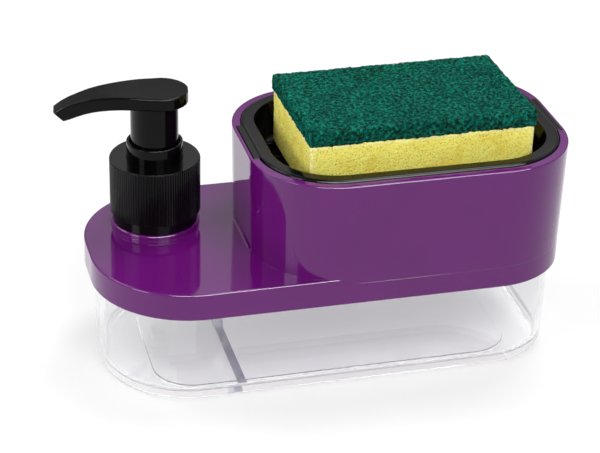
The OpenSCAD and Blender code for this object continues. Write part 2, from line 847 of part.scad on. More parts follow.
module pump_head() {
    tip = head_shares[len(head_shares) - 1];
    tip_place = (tip[0] + tip[1]) / 2 * head_reach;
    tip_height = head_top - (tip[3] + tip[4]) / 2 * head_fall;
    outlet_tilt = atan((channel_height - tip_height) / outlet_length);
    color(gloss_black)
        translate(pump_axis)
            rotate(180 - nozzle_turn)
                difference() {
                    union() {
                        head_body();
                        tube(shroud_radius, shroud_radius - shroud_wall, shroud_foot, shroud_top);
                        disc(grip_radius, head_foot - grip_length, shroud_top);
                    }
                    disc(grip_bore, head_foot - grip_length - cut, stem_top + run_gap);
                    disc(stem_bore, stem_top, channel_height);
                    at_height(channel_height)
                        rotate([0, 90, 0])
                            cylinder(r = channel_radius, h = tip_place - outlet_length);
                    translate([tip_place - outlet_length - channel_radius, 0, channel_height])
                        rotate([0, 90 + outlet_tilt, 0])
                            cylinder(r = channel_radius - fit_gap, h = 2 * outlet_length);
                }
}

tank();
tank_baffle();
lid();
sponge_tray();
sponge_foam();
scouring_pad();
screw_cap();
locking_ring();
neck_gasket();
pump_cylinder();
dip_tube();
inlet_ball();
return_spring();
piston_seal();
stem_plug();
stem();
pump_head();
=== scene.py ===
import math
import random

import bpy
from mathutils import Matrix, Vector, noise


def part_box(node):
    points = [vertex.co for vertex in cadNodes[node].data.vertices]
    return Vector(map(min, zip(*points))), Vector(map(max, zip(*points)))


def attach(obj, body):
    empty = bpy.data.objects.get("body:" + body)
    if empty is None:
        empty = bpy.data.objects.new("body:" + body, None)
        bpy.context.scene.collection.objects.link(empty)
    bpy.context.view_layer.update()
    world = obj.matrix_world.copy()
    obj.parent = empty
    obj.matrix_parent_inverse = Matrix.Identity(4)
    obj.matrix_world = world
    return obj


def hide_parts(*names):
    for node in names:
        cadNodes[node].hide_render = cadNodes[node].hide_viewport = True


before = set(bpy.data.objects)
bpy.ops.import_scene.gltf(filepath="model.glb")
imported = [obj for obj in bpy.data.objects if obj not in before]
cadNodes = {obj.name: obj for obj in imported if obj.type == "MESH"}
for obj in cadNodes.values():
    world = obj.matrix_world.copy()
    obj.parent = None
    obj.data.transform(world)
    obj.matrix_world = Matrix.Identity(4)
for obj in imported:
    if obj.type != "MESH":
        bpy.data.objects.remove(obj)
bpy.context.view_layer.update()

mm = 0.001
scene = bpy.context.scene


# Camera, where the photograph was taken from

cameraSet = {
    "place": (-0.1992, -0.6879, 0.4315),  # metres
    "yaw": 15.472,  # degrees to the right of +Y
    "pitch": 28.156,  # degrees down
    "roll": 1.544,
    "lens": 120.6,
    "sensor": 36,
}


def makeCamera(c):
    yaw, pitch, roll = (math.radians(c[key]) for key in ("yaw", "pitch", "roll"))
    forward = Vector((math.sin(yaw) * math.cos(pitch), math.cos(yaw) * math.cos(pitch), -math.sin(pitch)))
    level = Vector((math.cos(yaw), -math.sin(yaw), 0))
    upright = level.cross(forward)
    right = math.cos(roll) * level + math.sin(roll) * upright
    up = math.cos(roll) * upright - math.sin(roll) * level
    data = bpy.data.cameras.new("camera")
    data.lens = c["lens"]
    data.sensor_width = c["sensor"]
    camera = bpy.data.objects.new("camera", data)
    turn = Matrix((right, up, -forward)).transposed()
    camera.matrix_world = Matrix.Translation(c["place"]) @ turn.to_4x4()
    scene.collection.objects.link(camera)
    scene.camera = camera


# Small helpers for nodes and meshes

def put(tree, kind, sockets=None, **settings):
    node = tree.nodes.new(kind)
    for key, value in settings.items():
        setattr(node, key, value)
    for key, value in (sockets or {}).items():
        if isinstance(value, bpy.types.NodeSocket):
            tree.links.new(value, node.inputs[key])
        else:
            node.inputs[key].default_value = value
    return node


def math2(tree, operation, a, b=0.0, clamp=False):
    return put(tree, "ShaderNodeMath", {0: a, 1: b}, operation=operation, use_clamp=clamp).outputs[0]


def spread(tree, value, low, high, toLow=0.0, toHigh=1.0):
    node = put(tree, "ShaderNodeMapRange", {"Value": value, "From Min": low, "From Max": high,
                                            "To Min": toLow, "To Max": toHigh})
    return node.outputs["Result"]


def mixColour(tree, factor, a, b):
    return put(tree, "ShaderNodeMix", {0: factor, 6: a, 7: b}, data_type="RGBA").outputs[2]


def newMaterial(name, **sockets):
    material = bpy.data.materials.new(name)
    material.use_nodes = True
    shader = material.node_tree.nodes["Principled BSDF"]
    for key, value in sockets.items():
        shader.inputs[key.replace("_", " ")].default_value = value
    return material, material.node_tree, shader


def newGroup(name, inputs, outputs):
    group = bpy.data.node_groups.new(name, "ShaderNodeTree")
    for label, value in inputs.items():
        socket = group.interface.new_socket(name=label, in_out="INPUT", socket_type="NodeSocketFloat")
        socket.default_value = value
    for label in outputs:
        group.interface.new_socket(name=label, in_out="OUTPUT", socket_type="NodeSocketFloat")
    return group, group.nodes.new("NodeGroupInput"), group.nodes.new("NodeGroupOutput")


def meshPiece(name, points, faces, material, body):
    mesh = bpy.data.meshes.new(name)
    mesh.from_pydata(points, [], faces)
    mesh.update()
    mesh.materials.append(material)
    mesh.shade_smooth()
    piece = bpy.data.objects.new(name, mesh)
    scene.collection.objects.link(piece)
    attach(piece, body)
    return piece


def dress(node, material):
    slots = cadNodes[node].material_slots
    for slot in slots:
        slot.material = material
    if not slots:
        cadNodes[node].data.materials.append(material)


# Studio: white floor, even sky, lamps at the back left and right, the left and the front,
# and a strip that only gloss mirrors

studioSet = {
    "sky": 0.45,
    # what gloss sees of the sky at each height
    "mirror": ((0.40, 0.3), (0.46, 0.88), (0.6, 0.88), (0.8, 0.4)),
    "floorColour": (0.5, 0.5, 0.5, 1),
    "floorGlow": 0.2,
    "floorShown": 0.44,  # the glow where the camera sees it
    "floorThrough": 0.29,  # where glass does
    "floorFreed": 0.6,  # and where light let out of a glass wall does
    "freedFrom": 3.5,  # mirrorings after which that is so
    "floorMirrored": (0.16, 0.5),  # and where gloss does, in front of the caddy and behind it
    "mirrorFrom": (-0.16, 0.06),  # where that change starts and ends, metres
    "floorDrop": 0.2,
    "floorSize": 6.0,
}
lampSets = {
    "key": {"place": (-0.66, 0.33, 0.82), "aim": (0, 0, 0.05), "size": (0.4, 0.4), "power": 2.4},
    "back": {"place": (0.32, 0.30, 0.98), "aim": (0, 0, 0.05), "size": (0.4, 0.4), "power": 4.7},
    "left": {"place": (-0.85, -0.35, 0.42), "aim": (0, 0, 0.07), "size": (0.3, 0.3), "power": 3.0},
    "front": {"place": (0.1, -0.8, 0.75), "aim": (0, 0, 0.05), "size": (0.5, 0.5), "power": 5.5},
    "glint": {"place": (0.15, -0.75, 0.95), "aim": (0, 0, 0.05), "size": (1.6, 0.4), "power": 38,
              "matt": False},
}


def makeSky(s):
    world = bpy.data.worlds.new("sky")
    scene.world = world
    world.use_nodes = True
    tree = world.node_tree
    tree.nodes.clear()
    ray = put(tree, "ShaderNodeLightPath")
    place = put(tree, "ShaderNodeTexCoord")
    parts = put(tree, "ShaderNodeSeparateXYZ", {0: place.outputs["Generated"]})
    ramp = put(tree, "ShaderNodeValToRGB", {0: parts.outputs["Z"]})
    marks = ramp.color_ramp.elements
    while len(marks) < len(s["mirror"]):
        marks.new(0.5)
    for mark, (height, level) in zip(marks, s["mirror"]):
        mark.position = height
        mark.color = (level, level, level, 1)
    mirror = ramp.outputs[0]
    inGlass = math2(tree, "GREATER_THAN", ray.outputs["Transmission Depth"], 0.5)
    direct = math2(tree, "MAXIMUM", ray.outputs["Is Camera Ray"], inGlass)
    seen = math2(tree, "SUBTRACT", 1.0, ray.outputs["Is Diffuse Ray"])
    plain = put(tree, "ShaderNodeBackground", {"Strength": s["sky"]})
    plain.inputs["Color"].default_value = (1, 1, 1, 1)
    strength = math2(tree, "MAXIMUM", direct, mirror)
    shown = put(tree, "ShaderNodeBackground", {"Strength": strength})
    shown.inputs["Color"].default_value = (1, 1, 1, 1)
    mixed = put(tree, "ShaderNodeMixShader", {0: seen, 1: plain.outputs[0], 2: shown.outputs[0]})
    put(tree, "ShaderNodeOutputWorld", {"Surface": mixed.outputs[0]})


def makeFloor(s):
    half = s["floorSize"] / 2
    drop = -s["floorDrop"] * mm
    mesh = bpy.data.meshes.new("floor")
    corners = [(-half, -half, drop), (half, -half, drop), (half, half, drop), (-half, half, drop)]
    mesh.from_pydata(corners, [], [(0, 1, 2, 3)])
    floor = bpy.data.objects.new("floor", mesh)
    scene.collection.objects.link(floor)
    material = bpy.data.materials.new("floorWhite")
    material.use_nodes = True
    tree = material.node_tree
    tree.nodes.clear()
    ray = put(tree, "ShaderNodeLightPath")
    place = put(tree, "ShaderNodeTexCoord")
    parts = put(tree, "ShaderNodeSeparateXYZ", {0: place.outputs["Object"]})
    shown = math2(tree, "MULTIPLY", ray.outputs["Is Camera Ray"], s["floorShown"])
    inGlass = math2(tree, "GREATER_THAN", ray.outputs["Transmission Depth"], 0.5)
    freed = math2(tree, "GREATER_THAN", ray.outputs["Glossy Depth"], s["freedFrom"])
    freed = math2(tree, "MULTIPLY", freed, s["floorFreed"])
    through = math2(tree, "MULTIPLY", inGlass, math2(tree, "MAXIMUM", freed, s["floorThrough"]))
    outside = math2(tree, "MULTIPLY", ray.outputs["Is Glossy Ray"], math2(tree, "SUBTRACT", 1.0, inGlass))
    mirrored = math2(tree, "MULTIPLY", outside,
                     spread(tree, parts.outputs["Y"], *s["mirrorFrom"], *s["floorMirrored"]))
    glow = math2(tree, "MAXIMUM", math2(tree, "MAXIMUM", shown, through),
                 math2(tree, "MAXIMUM", mirrored, s["floorGlow"]))
    matt = put(tree, "ShaderNodeBsdfDiffuse", {"Color": s["floorColour"]})
    lift = put(tree, "ShaderNodeEmission", {"Strength": glow})
    both = put(tree, "ShaderNodeAddShader", {0: matt.outputs[0], 1: lift.outputs[0]})
    put(tree, "ShaderNodeOutputMaterial", {"Surface": both.outputs[0]})
    mesh.materials.append(material)


def makeLamp(name, s):
    data = bpy.data.lights.new(name, "AREA")
    data.shape = "RECTANGLE"
    data.size, data.size_y = s["size"]
    data.energy = s["power"]
    lamp = bpy.data.objects.new(name, data)
    lamp.location = s["place"]
    lamp.rotation_euler = (Vector(s["aim"]) - Vector(s["place"])).to_track_quat("-Z", "Y").to_euler()
    lamp.visible_diffuse = lamp.visible_transmission = s.get("matt", True)  # the glint lamp only lights gloss
    scene.collection.objects.link(lamp)


# Effects that several finishes share

flowSet = {
    "ripple": 14.0,  # times as fine as the waves
    "rippleShare": 0.06,
    "smear": 2.3,
    "hair": (60, 2400, 1500),  # streaks a metre along each axis
    "hairTurn": (0.4, 0.9, 0.7),
}


def makeMouldFlow(s):
    # slow waves and fine ripple of a moulded face, with smudges that dull the gloss
    inputs = {"Wave size": 0.02, "Gloss": 0.05, "Smudge": 0.05, "Scratch": 0.1}
    group, given, out = newGroup("mouldFlow", inputs, ["Roughness", "Height", "Tone"])
    place = put(group, "ShaderNodeTexCoord").outputs["Object"]
    rate = math2(group, "DIVIDE", 1.0, given.outputs["Wave size"])
    wave = put(group, "ShaderNodeTexNoise", {"Vector": place, "Scale": rate, "Detail": 1.0, "Roughness": 0.4})
    ripple = put(group, "ShaderNodeTexNoise",
                 {"Vector": place, "Scale": math2(group, "MULTIPLY", rate, s["ripple"]), "Detail": 2.0})
    smear = put(group, "ShaderNodeTexNoise",
                {"Vector": place, "Scale": math2(group, "MULTIPLY", rate, s["smear"]), "Detail": 4.0,
                 "Distortion": 0.6})
    fine = put(group, "ShaderNodeMapping", {"Vector": place, "Rotation": s["hairTurn"], "Scale": s["hair"]})
    hair = put(group, "ShaderNodeTexNoise", {"Vector": fine.outputs[0], "Scale": 1.0, "Detail": 1.0})
    scratch = spread(group, hair.outputs[0], 0.68, 0.78)
    smudge = spread(group, smear.outputs[0], 0.45, 0.75)
    dull = math2(group, "MULTIPLY", smudge, given.outputs["Smudge"])
    worn = math2(group, "MULTIPLY", scratch, given.outputs["Scratch"])
    rough = math2(group, "ADD", math2(group, "ADD", given.outputs["Gloss"], dull), worn, True)
    faint = math2(group, "MULTIPLY", ripple.outputs[0], s["rippleShare"])
    height = math2(group, "ADD", wave.outputs[0], faint)
    group.links.new(rough, out.inputs["Roughness"])
    group.links.new(height, out.inputs["Height"])
    group.links.new(spread(group, wave.outputs[0], 0.3, 0.7), out.inputs["Tone"])
    return group


def makeFineGrain():
    # spark-eroded grain of satin and soft mouldings
    group, given, out = newGroup("fineGrain", {"Grain size": 0.0004}, ["Height", "Mask"])
    place = put(group, "ShaderNodeTexCoord").outputs["Object"]
    rate = math2(group, "DIVIDE", 1.0, given.outputs["Grain size"])
    cells = put(group, "ShaderNodeTexVoronoi", {"Vector": place, "Scale": rate}, feature="SMOOTH_F1")
    cloud = put(group, "ShaderNodeTexNoise",
                {"Vector": place, "Scale": math2(group, "MULTIPLY", rate, 0.6), "Detail": 3.0})
    both = math2(group, "MULTIPLY", cells.outputs["Distance"], cloud.outputs[0])
    group.links.new(both, out.inputs["Height"])
    group.links.new(spread(group, cloud.outputs[0], 0.35, 0.65), out.inputs["Mask"])
    return group


def useGroup(tree, group, **values):
    node = put(tree, "ShaderNodeGroup", node_tree=group)
    for key, value in values.items():
        node.inputs[key.replace("_", " ")].default_value = value
    return node.outputs


def softEdge(tree, shader, height, edge, strength, depth):
    # rounds the sharp edges of a moulding by edge metres and lays the surface relief over them
    bevel = put(tree, "ShaderNodeBevel", {"Radius": edge}, samples=6)
    relief = put(tree, "ShaderNodeBump",
                 {"Height": height, "Strength": strength, "Distance": depth, "Normal": bevel.outputs[0]})
    tree.links.new(relief.outputs[0], shader.inputs["Normal"])


# Finishes

glossSets = {
    "lidPurple": {"light": (0.110, 0.0032, 0.131, 1), "deep": (0.100, 0.0029, 0.120, 1), "gloss": 0.05,
                  "smudge": 0.05, "scratch": 0.10, "wave": 0.026, "edge": 0.16, "depth": 0.03, "shine": 0.5},
    "trayBlack": {"light": (0.0022, 0.0022, 0.0023, 1), "deep": (0.0012, 0.0012, 0.0013, 1), "gloss": 0.07,
                  "smudge": 0.06, "scratch": 0.08, "wave": 0.018, "edge": 0.9, "depth": 0.02, "shine": 0.2},
    "headBlack": {"light": (0.0014, 0.0014, 0.0015, 1), "deep": (0.0008, 0.0008, 0.0009, 1), "gloss": 0.07,
                  "smudge": 0.05, "scratch": 0.08, "wave": 0.012, "edge": 0.5, "depth": 0.012, "shine": 0.15},
}


def makeGloss(name, s, mould):
    material, tree, shader = newMaterial(name, IOR=1.5, Specular_IOR_Level=s["shine"])
    flow = useGroup(tree, mould, Wave_size=s["wave"], Gloss=s["gloss"], Smudge=s["smudge"],
                    Scratch=s["scratch"])
    tree.links.new(mixColour(tree, flow["Tone"], s["deep"], s["light"]), shader.inputs["Base Color"])
    tree.links.new(flow["Roughness"], shader.inputs["Roughness"])
    return material, tree, shader, flow


seamSet = {"height": 47.0, "halfWidth": 0.16, "from": -20.0, "to": 10.0, "depth": 0.12}


def makeLidPurple(mould):
    # the lid's purple, with the faint parting line where the basin's wall stands on the skirt
    s = glossSets["lidPurple"]
    material, tree, shader, flow = makeGloss("lidPurple", s, mould)
    place = put(tree, "ShaderNodeTexCoord").outputs["Object"]
    parts = put(tree, "ShaderNodeSeparateXYZ", {0: place})
    away = math2(tree, "ABSOLUTE", math2(tree, "SUBTRACT", parts.outputs["Z"], seamSet["height"] * mm))
    line = spread(tree, away, 0.0, seamSet["halfWidth"] * mm, 1.0, 0.0)
    basinSide = spread(tree, parts.outputs["X"], seamSet["from"] * mm, seamSet["to"] * mm)
    seam = math2(tree, "MULTIPLY", line, basinSide)
    relief = math2(tree, "SUBTRACT", math2(tree, "MULTIPLY", flow["Height"], s["depth"] * mm),
                   math2(tree, "MULTIPLY", seam, seamSet["depth"] * mm))
    softEdge(tree, shader, relief, s["edge"] * mm, 1.0, 1.0)
    return material


def makeBlack(name, mould):
    s = glossSets[name]
    material, tree, shader, flow = makeGloss(name, s, mould)
    softEdge(tree, shader, flow["Height"], s["edge"] * mm, 1.0, s["depth"] * mm)
    return material


grainSets = {
    "capSatin": {"light": (0.0012, 0.0012, 0.0013, 1), "deep": (0.0006, 0.0006, 0.0007, 1),
                 "rough": (0.13, 0.18), "grain": 0.35, "edge": 0.15, "depth": 0.005, "shine": 0.22},
    "pumpWhite": {"light": (0.84, 0.84, 0.81, 1), "deep": (0.74, 0.74, 0.71, 1), "rough": (0.38, 0.5),
                  "grain": 0.6, "edge": 0.1, "depth": 0.03, "shine": 0.5},
    "gasketGrey": {"light": (0.46, 0.46, 0.44, 1), "deep": (0.36, 0.36, 0.35, 1), "rough": (0.65, 0.8),
                   "grain": 0.3, "edge": 0.1, "depth": 0.05, "shine": 0.4},
}


def makeGrained(name, grain):
    s = grainSets[name]
    material, tree, shader = newMaterial(name, IOR=1.5, Specular_IOR_Level=s["shine"])
    pattern = useGroup(tree, grain, Grain_size=s["grain"] * mm)
    tree.links.new(mixColour(tree, pattern["Mask"], s["deep"], s["light"]), shader.inputs["Base Color"])
    tree.links.new(spread(tree, pattern["Mask"], 0.0, 1.0, *s["rough"]), shader.inputs["Roughness"])
    softEdge(tree, shader, pattern["Height"], s["edge"] * mm, 1.0, s["depth"] * mm)
    return material


clearSets = {
    "tankClear": {"tint": (0.985, 0.988, 0.995, 1), "shade": (0.965, 0.97, 0.98, 1), "gloss": 0.0,
                  "wave": 0.03, "depth": 0.02, "weight": 1.0, "ior": 1.47, "bounces": 6, "mirrored": 4},
    "baffleClear": {"tint": (0.53, 0.53, 0.62, 1), "shade": (0.35, 0.35, 0.43, 1), "gloss": 0.05,
                    "wave": 0.005, "depth": 0.08, "weight": 0.8, "ior": 1.47, "bounces": 6, "mirrored": 4},
}


def makeClear(name, mould):
    s = clearSets[name]
    material, tree, shader = newMaterial(name, IOR=s["ior"], Transmission_Weight=s["weight"])
    flow = useGroup(tree, mould, Wave_size=s["wave"], Gloss=s["gloss"], Smudge=0.02, Scratch=0.02)
    tree.links.new(mixColour(tree, flow["Tone"], s["shade"], s["tint"]), shader.inputs["Base Color"])
    tree.links.new(flow["Roughness"], shader.inputs["Roughness"])
    relief = put(tree, "ShaderNodeBump", {"Height": flow["Height"], "Distance": s["depth"] * mm})
    tree.links.new(relief.outputs[0], shader.inputs["Normal"])
    ray = put(tree, "ShaderNodeLightPath")  # light trapped in the wall is let out after some bounces
    early = math2(tree, "LESS_THAN", ray.outputs["Ray Depth"], s["bounces"])
    fresh = math2(tree, "LESS_THAN", ray.outputs["Glossy Depth"], s["mirrored"])
    held = math2(tree, "MULTIPLY", early, fresh)
    tree.links.new(held, shader.inputs["Alpha"])
    return material


steelSet = {"light": (0.66, 0.66, 0.67, 1), "deep": (0.50, 0.50, 0.52, 1), "rough": (0.16, 0.32),
            "draw": 0.25, "depth": 0.01}


def makeSteel(s):
    # drawn wire: fine streaks along the metal
    material, tree, shader = newMaterial("wireSteel", Metallic=1.0)
    place = put(tree, "ShaderNodeTexCoord").outputs["Object"]
    streak = put(tree, "ShaderNodeTexNoise",
                 {"Vector": place, "Scale": 1 / (s["draw"] * mm), "Detail": 3.0, "Roughness": 0.7})
    tree.links.new(mixColour(tree, streak.outputs[0], s["deep"], s["light"]), shader.inputs["Base Color"])
    tree.links.new(spread(tree, streak.outputs[0], 0.3, 0.7, *s["rough"]), shader.inputs["Roughness"])
    relief = put(tree, "ShaderNodeBump", {"Height": streak.outputs[0], "Distance": s["depth"] * mm})
    tree.links.new(relief.outputs[0], shader.inputs["Normal"])
    return material


foamSet = {
    "turn": 0.8,  # as the sponge lies in its tray
    "cell": 0.62, "topRound": 0.5, "footRound": 2.0, "sideRound": 1.1,
    "wave": 0.35, "waveSize": 17, "pit": 0.34, "pitSize": 0.95,
    "light": (1.0, 0.95, 0.22, 1), "deep": (0.84, 0.62, 0.05, 1), "pore": (0.34, 0.23, 0.02, 1),
    "edgeHighlightColour": (1.0, 0.97, 0.62, 1), "poreSize": 0.9, "grainShare": 1.6, "broad": 6, "highlightReach": 3.5, "relief": 0.3,
    "pitShare": 0.55, "fuzz": 0.08, "fuzzSize": 0.6, "waist": 0.12,
}


def makeFoamMaterial(s):
    material, tree, shader = newMaterial("foamYellow", Roughness=0.95, Subsurface_Weight=0.12,
                                         Subsurface_Scale=2 * mm, Specular_IOR_Level=0.04)
    place = put(tree, "ShaderNodeTexCoord").outputs["Object"]
    pores = put(tree, "ShaderNodeTexVoronoi",
                {"Vector": place, "Scale": 1 / (s["poreSize"] * mm), "Randomness": 1.0})
    small = put(tree, "ShaderNodeTexNoise",
                {"Vector": place, "Scale": s["grainShare"] / (s["poreSize"] * mm), "Detail": 3.0,
                 "Roughness": 0.7})
    broad = put(tree, "ShaderNodeTexNoise", {"Vector": place, "Scale": 1 / (s["broad"] * mm), "Detail": 2.0})
    body = mixColour(tree, spread(tree, small.outputs[0], 0.38, 0.50), s["deep"], s["light"])
    body = mixColour(tree, spread(tree, broad.outputs[0], 0.45, 0.7, 0.0, 0.5), body, s["deep"])
    # painted highlight: near all its edges, found by a bevel of the given reach, the foam is mixed towards a
    # pale cream
    edge = put(tree, "ShaderNodeBevel", {"Radius": s["highlightReach"] * mm}, samples=6)
    face = put(tree, "ShaderNodeNewGeometry")
    turned = put(tree, "ShaderNodeVectorMath", {0: edge.outputs[0], 1: face.outputs["Normal"]},
                 operation="DOT_PRODUCT")
    paintedEdgeHighlight = spread(tree, turned.outputs["Value"], 0.995, 0.88)
    body = mixColour(tree, math2(tree, "MULTIPLY", paintedEdgeHighlight, 0.85), body, s["edgeHighlightColour"])
    # painted shade: the middles of some pores are darkened to a brown olive, standing in for shade in the
    # foam's holes
    hole = spread(tree, pores.outputs["Distance"], 0.34, 0.12)
    poreShade = math2(tree, "MULTIPLY", hole, spread(tree, small.outputs[0], 0.56, 0.46), True)
    tree.links.new(mixColour(tree, poreShade, body, s["pore"]), shader.inputs["Base Color"])
    height = math2(tree, "ADD", pores.outputs["Distance"], math2(tree, "MULTIPLY", small.outputs[0], 0.5))
    relief = put(tree, "ShaderNodeBump", {"Height": height, "Strength": 0.8, "Distance": s["relief"] * mm})
    tree.links.new(relief.outputs[0], shader.inputs["Normal"])
    return material


padSet = {
    "cell": 0.7, "round": 0.6, "swell": 0.5, "wave": 0.25, "waveSize": 14, "rough": 0.5, "roughSize": 1.3,
    "ragged": 0.45, "raggedSize": 3.0,
    "dark": (0.0003, 0.012, 0.008, 1), "mid": (0.0014, 0.115, 0.078, 1), "bright": (0.010, 0.41, 0.285, 1),
    "strand": 0.44,  # width of a fibre in the finish
    "strandTurns": (0.3, 1.35, 2.4), "strandThin": (1.0, 4.5, 3.0), "strandScale": 3.2,
    "twist": 4, "sway": 2.2, "patch": 9, "tuft": 1.3, "middle": 0.45, "relief": 0.5,
}


def makePadMaterial(s, name, paintedLightLift):
    # matted fibre: crossing streaks of three greens. The darkest green is painted shade in the gaps between
    # fibres, and the brightest is painted light on the raised strands
    material, tree, shader = newMaterial(name, Roughness=0.75, Specular_IOR_Level=0.05)
    place = put(tree, "ShaderNodeTexCoord").outputs["Object"]
    twist = put(tree, "ShaderNodeTexNoise", {"Vector": place, "Scale": 1 / (s["twist"] * mm), "Detail": 2.0})
    sway = put(tree, "ShaderNodeVectorMath", {0: twist.outputs[1], 3: s["sway"] * mm}, operation="SCALE")
    bent = put(tree, "ShaderNodeVectorMath", {0: place, 1: twist.outputs[1], 2: sway.outputs[0]},
               operation="MULTIPLY_ADD")
    strands = []
    for angle in s["strandTurns"]:
        lie = put(tree, "ShaderNodeMapping",
                  {"Vector": bent.outputs[0], "Rotation": (0.2, 0.1, angle), "Scale": s["strandThin"]})
        lay = put(tree, "ShaderNodeTexNoise",
                  {"Vector": lie.outputs[0], "Scale": 1 / (s["strandScale"] * s["strand"] * mm),
                   "Detail": 2.0, "Roughness": 0.6})
        strands.append(lay.outputs[0])
    top = math2(tree, "MAXIMUM", math2(tree, "MAXIMUM", strands[0], strands[1]), strands[2])
    patches = put(tree, "ShaderNodeTexNoise",
                  {"Vector": place, "Scale": 1 / (s["patch"] * mm), "Detail": 2.0})
    tufts = put(tree, "ShaderNodeTexNoise", {"Vector": place, "Scale": 1 / (s["tuft"] * mm), "Detail": 1.0})
    cloudy = spread(tree, patches.outputs[0], 0.3, 0.7, -0.08, 0.08)
    lit = math2(tree, "ADD", spread(tree, top, 0.50, 0.74), cloudy)
    lit = math2(tree, "ADD", lit, spread(tree, tufts.outputs[0], 0.3, 0.7, -0.4, 0.4))
    lit = math2(tree, "ADD", lit, paintedLightLift, True)
    # painted light and shade: dark where the strands lie low, bright where they stand high
    ramp = put(tree, "ShaderNodeValToRGB", {0: lit})
    ramp.color_ramp.elements[0].color = s["dark"]
    ramp.color_ramp.elements[1].color = s["bright"]
    middle = ramp.color_ramp.elements.new(s["middle"])
    middle.color = s["mid"]
    tree.links.new(ramp.outputs[0], shader.inputs["Base Color"])
    relief = put(tree, "ShaderNodeBump", {"Height": top, "Strength": 0.9, "Distance": s["relief"] * mm})
    tree.links.new(relief.outputs[0], shader.inputs["Normal"])
    return material


# Sponge: the foam block and the fibre pad glued on it

def latticeBox(counts):
    # points on the surface of a lattice, and the quads between them
    places, faces = {}, []
    for axis in range(3):
        u, v = (axis + 1) % 3, (axis + 2) % 3
        for side in (0, counts[axis]):
            for a in range(counts[u]):
                for b in range(counts[v]):
                    quad = []
                    for stepA, stepB in ((0, 0), (1, 0), (1, 1), (0, 1)):
                        key = [0, 0, 0]
                        key[axis], key[u], key[v] = side, a + stepA, b + stepB
                        quad.append(places.setdefault(tuple(key), len(places)))
                    faces.append(quad if side else quad[::-1])
    return list(places), faces


def spongeFrame(node):
    # middle, half sizes and turn of a sponge layer, from the box of its solid
    low, high = (Vector(c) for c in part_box(node))
    turn = math.radians(foamSet["turn"])
    reach = (high - low) / 2
    half = Vector((reach.x * math.cos(turn) - reach.y * math.sin(turn),
                   reach.y * math.cos(turn) - reach.x * math.sin(turn), reach.z * math.cos(2 * turn)))
    return (low + high) / 2, half / math.cos(2 * turn), Matrix.Rotation(turn, 3, "Z")


def roundedPoint(share, half, sideRound, roundAt):
    # a point of the lattice pushed onto a box with rounded edges, and the way out from it
    p = Vector((share[i] * half[i] for i in range(3)))
    radius = roundAt(share[2])
    core = Vector((half.x - sideRound, half.y - sideRound, half.z - radius))
    inner = Vector((max(-core[i], min(core[i], p[i])) for i in range(3)))
    out = p - inner
    out.x, out.y, out.z = out.x / sideRound, out.y / sideRound, out.z / radius
    out.normalize()
    return inner + Vector((out.x * sideRound, out.y * sideRound, out.z * radius)), out


def makeLayer(name, node, cell, sideRound, roundAt, relief, material):
    middle, half, turn = spongeFrame(node)
    counts = [max(2, round(2 * half[i] / (cell * mm))) for i in range(3)]
    lattice, faces = latticeBox(counts)
    points = []
    for key in lattice:
        share = [2 * key[i] / counts[i] - 1 for i in range(3)]
        p, out = roundedPoint(share, half, sideRound, roundAt)
        points.append(middle + turn @ (p + out * relief(p, share, out)))
    piece = meshPiece(name, points, faces, material, "sponge")
    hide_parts(node)
    return piece


def makeFoam(s, material):
    def roundAt(z):
        return (s["topRound"] if z > 0 else s["footRound"]) * mm

    def relief(p, share, out):
        soft = noise.noise(p / (s["waveSize"] * mm)) * s["wave"]
        near = noise.voronoi(p / (s["pitSize"] * mm))[0][0]
        pit = -s["pit"] * max(0.0, 1 - near / s["pitShare"])
        grain = s["fuzz"] * noise.noise(p / (s["fuzzSize"] * mm) + Vector((7, 3, 1)))
        waist = -s["waist"] * (1 - share[2] ** 2) * (1 - abs(out.z))
        return (soft + pit + grain + waist) * mm

    return makeLayer("foamBlock", "sponge_foam", s["cell"], s["sideRound"] * mm, roundAt, relief, material)


def makePad(s, material):
    def roundAt(z):
        return s["round"] * mm

    def relief(p, share, out):
        soft = noise.noise(p / (s["waveSize"] * mm) + Vector((5, 0, 0))) * s["wave"]
        tuft = noise.fractal(p / (s["roughSize"] * mm), 0.6, 2.0, 3) * s["rough"]
        edge = noise.noise(p / (s["raggedSize"] * mm) + Vector((0, 9, 0))) * s["ragged"] * (1 - abs(out.z))
        return (soft + tuft + edge + s["swell"]) * mm

    return makeLayer("scourPad", "scouring_pad", s["cell"], s["round"] * mm, roundAt, relief, material)


fibreSet = {
    "count": 6500, "seed": 11, "radius": (0.08, 0.15), "length": (2.0, 5.0), "steps": 5, "curl": 600,
    "rise": (0.15, 0.5), "lift": 0.25, "sideShare": 0.3, "endShare": 0.4, "tip": 0.45,
    "down": 1.3,  # how far down the sides, in half thicknesses
    "border": 1.4,  # and how far past the edge a fibre may run
    "least": 0.05,
}


def fibreTube(path, radius, tip, points, faces):
    first = len(points)
    sides = 3
    for i, p in enumerate(path):
        ahead = path[min(i + 1, len(path) - 1)] - path[max(i - 1, 0)]
        across = ahead.cross(Vector((0.13, 0.21, 1))).normalized()
        over = across.cross(ahead).normalized()
        thin = radius * (tip if i in (0, len(path) - 1) else 1)
        for k in range(sides):
            angle = 2 * math.pi * k / sides
            points.append(p + (across * math.cos(angle) + over * math.sin(angle)) * thin)
    for i in range(len(path) - 1):
        for k in range(sides):
            a, b = first + i * sides + k, first + i * sides + (k + 1) % sides
            faces.append((a, b, b + sides, a + sides))
    faces.append(tuple(first + k for k in reversed(range(sides))))
    last = first + (len(path) - 1) * sides
    faces.append(tuple(last + k for k in range(sides)))


def overEdge(a, b, half):
    # a place on the pad's top, metres from its middle, folded down over the side where it runs past the edge
    past = max(abs(a) - half.x, abs(b) - half.y, 0.0)
    return [max(-1, min(1, a / half.x)), max(-1, min(1, b / half.y)), max(-1, 1 - past / half.z)]


